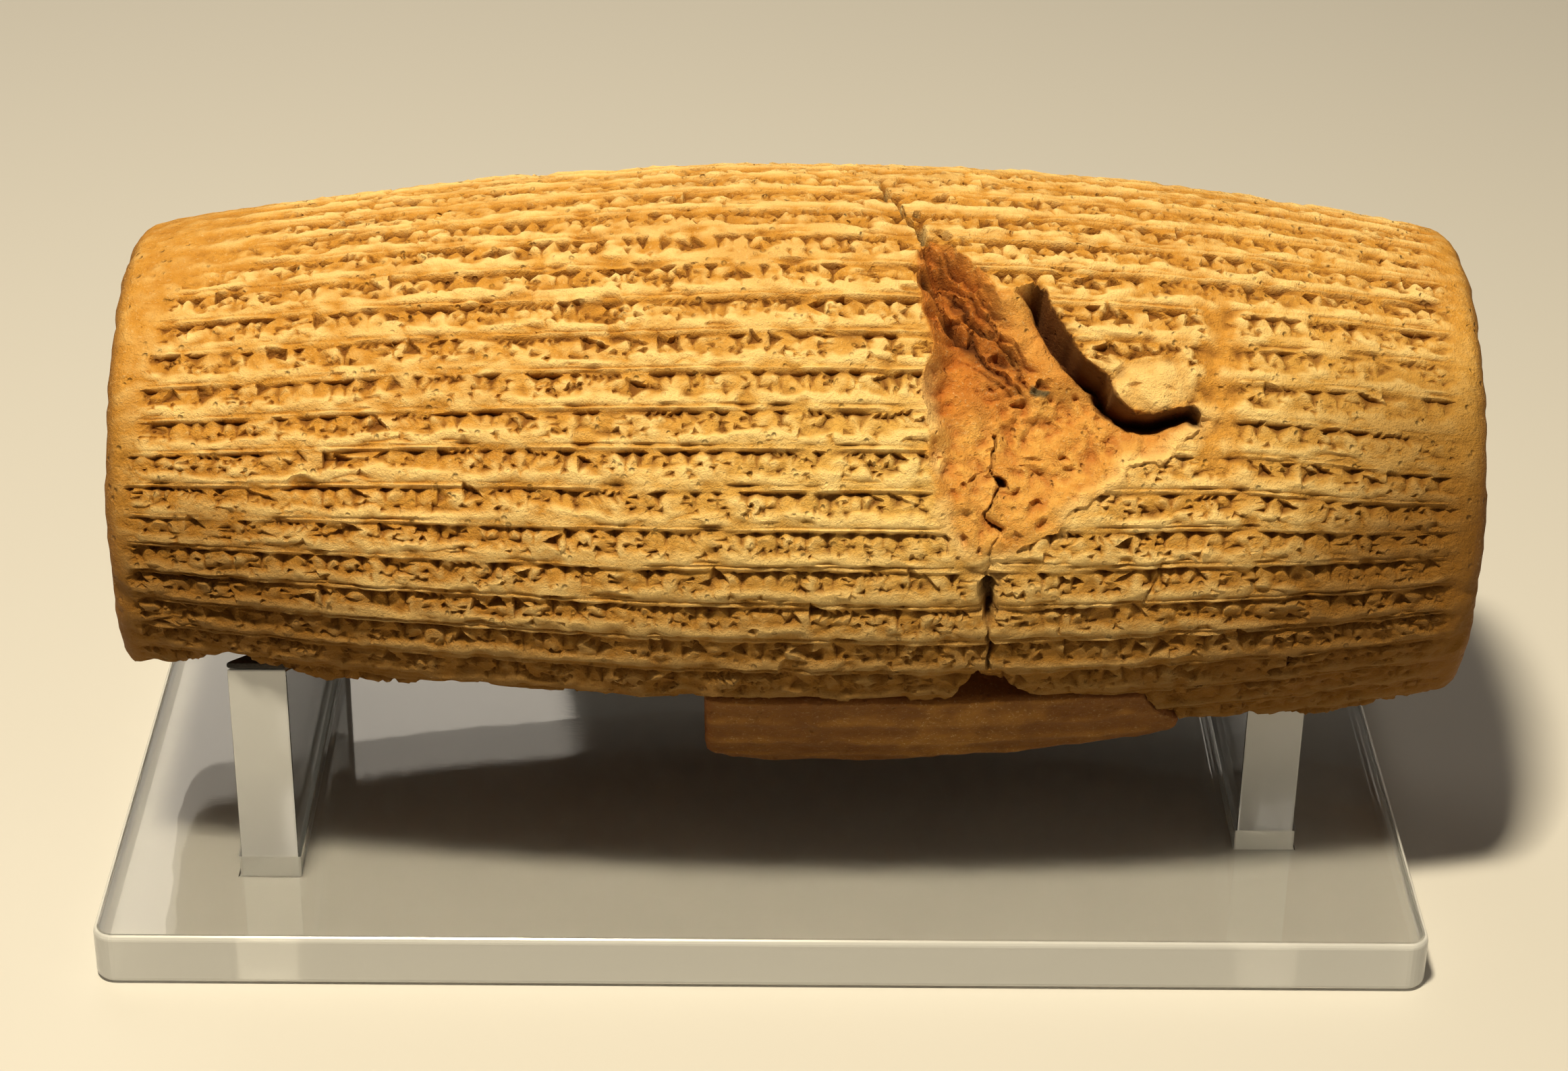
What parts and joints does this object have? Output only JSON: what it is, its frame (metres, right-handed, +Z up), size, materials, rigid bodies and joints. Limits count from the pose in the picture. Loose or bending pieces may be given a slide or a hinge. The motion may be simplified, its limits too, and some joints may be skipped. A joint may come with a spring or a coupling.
{
  "type": "cuneiform clay cylinder",
  "caption": "Barrel-shaped ancient clay cylinder with worn rows of wedge strokes, a gash and a glued fragment, lying in a clear acrylic cradle.",
  "frame": {"origin": "centre of the base plate's underside", "axes": "+X along the cylinder towards the end that is on the right in the picture, +Y away from the shown side, +Z up"},
  "size_m": [0.2219, 0.123, 0.1135],
  "materials": {
    "clay": "matt fired clay, ochre to cream, worn",
    "fragment_clay": "matt fired clay, darker brown, smoother",
    "clear_acrylic": "clear cast acrylic with polished edges",
    "black_pad": "thin black foam strip"
  },
  "bodies": {
    "root": {"clay_cylinder": "clay", "joined_fragment": "fragment_clay", "base_plate": "clear_acrylic", "left_support": "clear_acrylic", "right_support": "clear_acrylic", "left_support_pad": "black_pad"}
  },
  "joints": []
}
